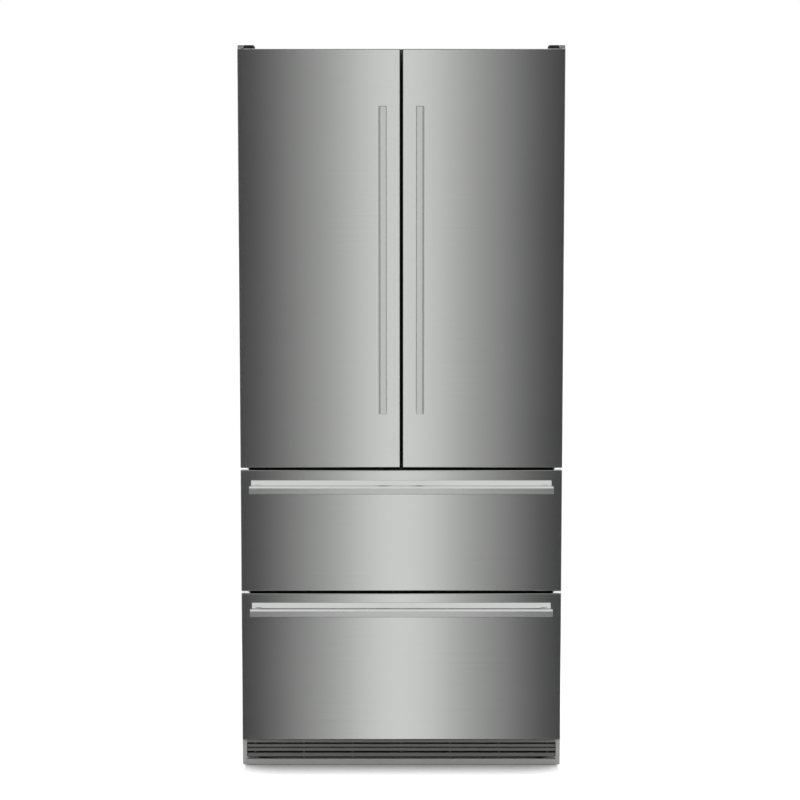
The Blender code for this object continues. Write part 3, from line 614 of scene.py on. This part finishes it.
def hex_screws(shape, places, size=SCREW_SIZE):
    """Hex heads on washers, each dished on top, standing out of the back."""
    for place in places:
        matrix = Matrix.Translation(place) @ TO_BACK
        washer = [(0.0, 0.0), (size * 1.7, 0.0), (size * 1.7, size * 0.22),
                  (size * 1.45, size * 0.36), (0.0, size * 0.36)]
        turned(shape, washer, matrix, 24)
        head = [(0.0, size * 0.30), (size, size * 0.30), (size, size * 1.05),
                (size * 0.86, size * 1.22), (size * 0.62, size * 1.22),
                (size * 0.50, size * 1.0), (0.0, size * 0.95)]
        turned(shape, head, matrix, 6)


def path_tube(name, points, radius):
    """A round copper tube of the cabinet, smoothed between given points."""
    curve = bpy.data.curves.new(name, "CURVE")
    curve.dimensions = "3D"
    curve.bevel_depth = radius
    curve.bevel_resolution = 3
    curve.use_fill_caps = True
    curve.resolution_u = 6
    spline = curve.splines.new("NURBS")
    spline.points.add(len(points) - 1)
    for point, place in zip(spline.points, points):
        point.co = (*place, 1.0)
    spline.order_u = 3
    spline.use_endpoint_u = True
    add_piece(name, curve, "copper", "cabinet")


# ---- Finished versions of CAD shapes ----

def refine_nodes():
    """Rounds what is sharp in the solids, by how each piece is made."""
    for word in ("left", "right"):
        refined(f"{word}_door_skin")
        refined(f"{word}_door_handle", 0.0006, 3)
        refined(f"hinge_bracket_{word}", 0.0005)
        refined(f"hinge_cap_{word}", 0.0008)
        refined(f"lower_hinge_{word}", 0.0004)
        refined(f"gap_plate_{word}", 0.0004)
        refined(f"crisper_{word}", 0.0008)
        refined(f"front_foot_{word}")
        refined(f"rear_roller_{word}")
        for level in ("lower", "upper"):
            refined(f"{word}_door_bin_{level}", 0.0007)
        # Only the edges behind the panel's face, where the gasket sits, are rounded
        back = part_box(f"{word}_door_gasket")[0].y - 0.0008
        refined(f"{word}_door_inner", 0.0045, 4,
                lambda edge, back=back: all(vert.co.y > back for vert in edge.verts))
    for word in ("upper", "lower"):
        refined(f"{word}_drawer_skin")
        refined(f"{word}_drawer_handle", 0.0006, 3)
        refined(f"{word}_drawer_bin", 0.0010)
        refined(f"{word}_drawer_frame", 0.0006)
    refined("plinth_frame", 0.0008)
    refined("plinth_grille", 0.0004)
    refined("centre_mullion", 0.0008)
    refined("machine_cover", 0.0004)
    refined("compressor")


# Profiles of (inset, height) points
GASKET_PROFILE = ((0.0010, 0.0), (0.0, 0.0030), (0.0025, 0.0048), (0.0004, 0.0066),
                  (0.0002, 0.0105), (0.0014, 0.0118), (0.0110, 0.0118), (0.0124, 0.0105),
                  (0.0122, 0.0070), (0.0100, 0.0052), (0.0140, 0.0034), (0.0160, 0.0012),
                  (0.0160, 0.0))
GASKET_CORNER = 0.012


def gaskets():
    """Folded magnetic seals, carried around each door and drawer front."""
    for node in ("left_door_gasket", "right_door_gasket", "upper_drawer_gasket",
                 "lower_drawer_gasket"):
        low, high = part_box(node)
        shape = bmesh.new()
        swept_ring(shape, (low.x, low.z), (high.x, high.z), GASKET_PROFILE,
                   lambda across, up, height: (across, low.y + height, up), GASKET_CORNER)
        body = frame["nodes"][node]["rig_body"]
        made = add_piece(node + "_folded", finish_mesh(shape, node), "gasket_grey", body)
        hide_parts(node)


SHELF_FRAME = ((0.0, 0.0), (0.0, 0.0105), (0.0012, 0.0118), (0.0075, 0.0118), (0.0087, 0.0106),
               (0.0087, 0.0075), (0.0035, 0.0070), (0.0035, 0.0022), (0.0080, 0.0018),
               (0.0080, 0.0))
SHELF_FRAME_DROP = 0.0042
SHELF_CORNER = 0.006


def shelf_frames():
    """A moulded frame around each glass shelf, with a bright strip along its front."""
    for node in ("shelf_upper", "shelf_middle", "crisper_shelf"):
        low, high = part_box(node)
        bottom = low.z + SHELF_FRAME_DROP
        shape = bmesh.new()
        swept_ring(shape, (low.x + 0.0004, low.y + 0.0002), (high.x - 0.0004, high.y), SHELF_FRAME,
                   lambda across, back, height: (across, back, bottom + height), SHELF_CORNER)
        add_piece(node + "_frame", finish_mesh(shape, node), "bin_white", "cabinet")
        shape = bmesh.new()
        rounded_box(shape, (low.x + 0.016, low.y - 0.0022, low.z + 0.0005),
                    (high.x - 0.016, low.y + 0.0030, high.z - 0.0010), 0.0012)
        add_piece(node + "_trim", finish_mesh(shape, node), "bracket_metal", "cabinet")


RIM = ((-0.0016, -0.0070), (-0.0022, -0.0012), (-0.0012, 0.0), (0.0030, 0.0), (0.0036, -0.0010),
       (0.0030, -0.0020), (0.0, -0.0022), (-0.0006, -0.0070))
RIM_ABOVE = 0.0008
RIM_CORNER = 0.006
CRISPER_FRONT = 0.012


def bin_rims():
    """A rolled lip around the top of each open bin."""
    for word in ("left", "right"):
        for level in ("lower", "upper"):
            rim_on(f"{word}_door_bin_{level}", f"{word}_door")
        rim_on(f"crisper_{word}", "cabinet", CRISPER_FRONT)
    for word in ("upper", "lower"):
        rim_on(f"{word}_drawer_bin", f"{word}_drawer")


def rim_on(node, body, front_skip=0.0):
    low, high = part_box(node)
    shape = bmesh.new()
    swept_ring(shape, (low.x, low.y + front_skip), (high.x, high.y), RIM,
               lambda across, back, height: (across, back, high.z + RIM_ABOVE + height),
               RIM_CORNER)
    add_piece(node + "_rim", finish_mesh(shape, node), "bin_white", body)


DIVIDER_BARS = 9


def drawer_dividers():
    """A barred divider that stands from front to back in each freezer bin."""
    for word in ("upper", "lower"):
        low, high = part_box(f"{word}_drawer_bin")
        middle = (low.x + high.x) / 2
        floor_at, top = low.z + 0.006, high.z - 0.012
        shape = bmesh.new()
        rounded_box(shape, (middle - 0.009, low.y + 0.010, top - 0.010),
                    (middle + 0.009, high.y - 0.010, top), 0.003)
        rounded_box(shape, (middle - 0.006, low.y + 0.014, floor_at),
                    (middle + 0.006, high.y - 0.014, floor_at + 0.008), 0.003)
        for index in range(DIVIDER_BARS):
            along = low.y + 0.030 + (high.y - low.y - 0.060) * index / (DIVIDER_BARS - 1)
            rounded_box(shape, (middle - 0.0018, along - 0.009, floor_at + 0.004),
                        (middle + 0.0018, along + 0.009, top - 0.004), 0.0012, 2)
        add_piece(f"{word}_bin_divider", finish_mesh(shape, "divider"), "bin_white",
                  f"{word}_drawer")


def cut(shape_name, body_shape, cutter_shape):
    """The first shape with the second taken out of it, as a mesh."""
    target = linked(shape_name, finish_mesh(body_shape, shape_name))
    tool = linked("cutter", finish_mesh(cutter_shape, "cutter"))
    modifier = target.modifiers.new("cut", "BOOLEAN")
    modifier.operation = "DIFFERENCE"
    modifier.object = tool
    graph = bpy.context.evaluated_depsgraph_get()
    mesh = bpy.data.meshes.new_from_object(target.evaluated_get(graph))
    for made in (target, tool):
        bpy.data.objects.remove(made)
    return smoothed(mesh)


LAMP_HALF = 0.23
LAMP_DEPTH = (-0.150, -0.095)
LENS_HALF = 0.215
LENS_DEPTH = (-0.141, -0.104)
DUCT_HALF = 0.155
DUCT_BOTTOM = 1.185
DUCT_SLOT_ROWS = (1.305, 1.560, 1.815)
DUCT_SLOTS = 5
DUCT_SLOT_PITCH = 0.048
LINER_SHEET = 0.0018


def lamps_and_duct():
    """The lamp in the fridge ceiling, and the air duct cover on its back wall."""
    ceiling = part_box("centre_mullion")[1].z
    shape = bmesh.new()
    rounded_box(shape, (-LAMP_HALF, LAMP_DEPTH[0], ceiling - 0.0085),
                (LAMP_HALF, LAMP_DEPTH[1], ceiling + 0.0002), 0.004)
    add_piece("lamp_base", finish_mesh(shape, "lamp_base"), "bin_white", "cabinet")
    shape = bmesh.new()
    rounded_box(shape, (-LENS_HALF, LENS_DEPTH[0], ceiling - 0.0125),
                (LENS_HALF, LENS_DEPTH[1], ceiling - 0.0070), 0.0026, 4)
    add_piece("lamp_lens", finish_mesh(shape, "lamp_lens"), "lamp_lens", "cabinet")

    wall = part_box("fridge_liner")[1].y - LINER_SHEET
    plate = bmesh.new()
    rounded_box(plate, (-DUCT_HALF, wall - 0.0120, DUCT_BOTTOM),
                (DUCT_HALF, wall + 0.0002, ceiling - 0.045), 0.005, 4)
    slots = bmesh.new()
    for height in DUCT_SLOT_ROWS:
        for index in range(DUCT_SLOTS):
            middle = DUCT_SLOT_PITCH * (index - (DUCT_SLOTS - 1) / 2)
            rounded_box(slots, (middle - 0.017, wall - 0.020, height - 0.0045),
                        (middle + 0.017, wall - 0.0050, height + 0.0045), 0.003, 3)
    mesh = cut("air_duct_cover", plate, slots)
    add_piece("air_duct_cover", mesh, "inner_panel_white", "cabinet")


BEAD = ((0.0, -0.0006), (0.003, 0.0022), (0.008, 0.0036), (0.013, 0.0022), (0.016, -0.0006))
BEAD_CORNER = 0.030
BEAD_INSETS = (0.0, 0.034)
# The back has four pressed fields, two to each side of the middle, above and below the plugs
FIELD_MIDDLE = 0.215
FIELD_HALF = 0.165
FIELD_EDGE = 0.10
PLUG_HEIGHT = 1.15
PLUG_CLEARANCE = 0.05
PLUG = ((0.0, 0.0002), (0.019, 0.0002), (0.019, 0.0016), (0.016, 0.0030), (0.006, 0.0034),
        (0.0045, 0.0020), (0.0, 0.0018))
SIDE_SCREWS = 7
SCREW_EDGE = 0.010
TOP_SCREWS = (-0.22, 0.0, 0.22)
COVER_SCREWS = (-0.43, -0.215, 0.0, 0.215, 0.43)
GLAND_PLACE = (0.380, 0.110)
GLAND = ((0.0134, 0.0), (0.0200, 0.0), (0.0200, 0.0016), (0.0175, 0.0024), (0.0175, 0.0038),
         (0.0188, 0.0044), (0.0188, 0.0054), (0.0165, 0.0064), (0.0134, 0.0066), (0.0134, 0.0))


def back_details():
    """Pressed beads, screws and plugs on the back, and the collar around the cord's gland."""
    low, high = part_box("back_panel")
    surface = high.y
    fields = ((low.z + FIELD_EDGE, PLUG_HEIGHT - PLUG_CLEARANCE),
              (PLUG_HEIGHT + PLUG_CLEARANCE, high.z - FIELD_EDGE))
    shape = bmesh.new()
    for side in (-1, 1):
        middle = side * FIELD_MIDDLE
        for bottom, top in fields:
            for inset in BEAD_INSETS:
                swept_ring(shape, (middle - FIELD_HALF + inset, bottom + inset),
                           (middle + FIELD_HALF - inset, top - inset), BEAD,
                           lambda across, up, height: (across, surface + height, up),
                           BEAD_CORNER)
    add_piece("back_panel_beads", finish_mesh(shape, "beads"), "cabinet_paint", "cabinet")

    shape = bmesh.new()
    edge = high.x - SCREW_EDGE
    heights = [low.z + 0.02 + (high.z - low.z - 0.04) * step / (SIDE_SCREWS - 1)
               for step in range(SIDE_SCREWS)]
    places = [(side * edge, surface, height) for side in (-1, 1) for height in heights]
    cover_low, cover_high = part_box("machine_cover")
    for row, height in ((TOP_SCREWS, high.z - 0.012), (COVER_SCREWS, cover_high.z - 0.012),
                        (COVER_SCREWS, cover_low.z + 0.012)):
        places += [(across, surface, height) for across in row]
    hex_screws(shape, places)
    add_piece("back_screws", finish_mesh(shape, "screws"), "zinc_steel", "cabinet")

    shape = bmesh.new()
    for side in (-1, 1):
        place = (side * FIELD_MIDDLE, surface, PLUG_HEIGHT)
        turned(shape, PLUG, Matrix.Translation(place) @ TO_BACK)
    add_piece("foam_plugs", finish_mesh(shape, "plugs"), "black_plastic", "cabinet")

    shape = bmesh.new()
    place = (GLAND_PLACE[0], surface + 0.0002, GLAND_PLACE[1])
    turned(shape, GLAND, Matrix.Translation(place) @ TO_BACK, 40)
    bmesh.ops.remove_doubles(shape, verts=shape.verts, dist=0.000001)
    add_piece("gland_collar", finish_mesh(shape, "collar"), "gasket_grey", "cabinet")


def grille_painted_shade():
    """A black sheet behind the plinth's slots: painted shade in place of the dark inside the base,
    which keeps the base out of sight.
    """
    low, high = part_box("plinth_grille")
    shape = bmesh.new()
    rounded_box(shape, (low.x - 0.004, high.y + 0.0012, low.z + 0.0005),
                (high.x + 0.004, high.y + 0.0030, high.z - 0.0005), 0.0006, 2)
    add_piece("grille_painted_shade", finish_mesh(shape, "shade"), "black_plastic", "cabinet")


MOUNT = ((0.0, 0.0), (0.011, 0.0), (0.012, 0.004), (0.009, 0.007), (0.012, 0.010),
         (0.011, 0.014), (0.004, 0.015), (0.004, 0.019), (0.0, 0.020))
SUCTION_RADIUS = 0.0045
DISCHARGE_RADIUS = 0.0030
# The discharge line passes over the fan between these two places, and sinks to the condenser
FAN_SIDES = (0.040, -0.060)
OVER_FAN = 0.236
OVER_CONDENSER = 0.222


def machine_details():
    """Terminal box, mounts and copper lines of the compressor."""
    low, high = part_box("compressor")
    middle = (low + high) / 2
    radius = (high.x - low.x) / 2
    shape = bmesh.new()
    rounded_box(shape, (low.x - 0.030, middle.y - 0.026, middle.z - 0.035),
                (low.x + 0.010, middle.y + 0.026, middle.z + 0.030), 0.005)
    add_piece("terminal_box", finish_mesh(shape, "box"), "black_plastic", "cabinet")
    shape = bmesh.new()
    for side in (-1, 1):
        for end in (-1, 1):
            place = (middle.x + side * radius * 0.92, middle.y + end * radius * 0.62, low.z)
            turned(shape, MOUNT, Matrix.Translation(place), 20)
    add_piece("compressor_mounts", finish_mesh(shape, "mounts"), "gasket_grey", "cabinet")
    top = high.z - 0.030
    right = high.x - 0.004
    # From the side of the compressor into the wall of its recess
    suction = [(right - 0.006, middle.y, top - 0.02), (right + 0.020, middle.y, top),
               (right + 0.024, middle.y, top + 0.040),
               (right + 0.010, middle.y - 0.030, top + 0.055),
               (right - 0.050, low.y + 0.018, top + 0.058),
               (right - 0.060, low.y + 0.004, top + 0.058),
               (right - 0.060, low.y - 0.010, top + 0.058)]
    path_tube("suction_line", suction, SUCTION_RADIUS)
    # From the top of the compressor over the fan, and down into the condenser
    condenser_low, condenser_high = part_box("condenser")
    inlet = condenser_high.x - 0.030
    discharge = [(low.x + 0.020, middle.y - 0.030, high.z - 0.030),
                 (low.x + 0.004, middle.y - 0.046, high.z + 0.004),
                 (low.x - 0.060, middle.y - 0.062, high.z + 0.010),
                 (FAN_SIDES[0], middle.y - 0.066, high.z + 0.004),
                 (FAN_SIDES[1], middle.y - 0.066, OVER_FAN),
                 (condenser_high.x - 0.020, middle.y - 0.064, OVER_CONDENSER),
                 (inlet, condenser_low.y + 0.014, condenser_high.z + 0.030),
                 (inlet, condenser_low.y + 0.016, condenser_high.z - 0.004)]
    path_tube("discharge_line", discharge, DISCHARGE_RADIUS)


camera()
studio_world()
floor()
for settings in SOFTBOXES:
    softbox(*settings)
dress_nodes()
refine_nodes()
gaskets()
shelf_frames()
bin_rims()
drawer_dividers()
lamps_and_duct()
back_details()
grille_painted_shade()
machine_details()

bpy.context.scene.view_settings.view_transform = "Standard"
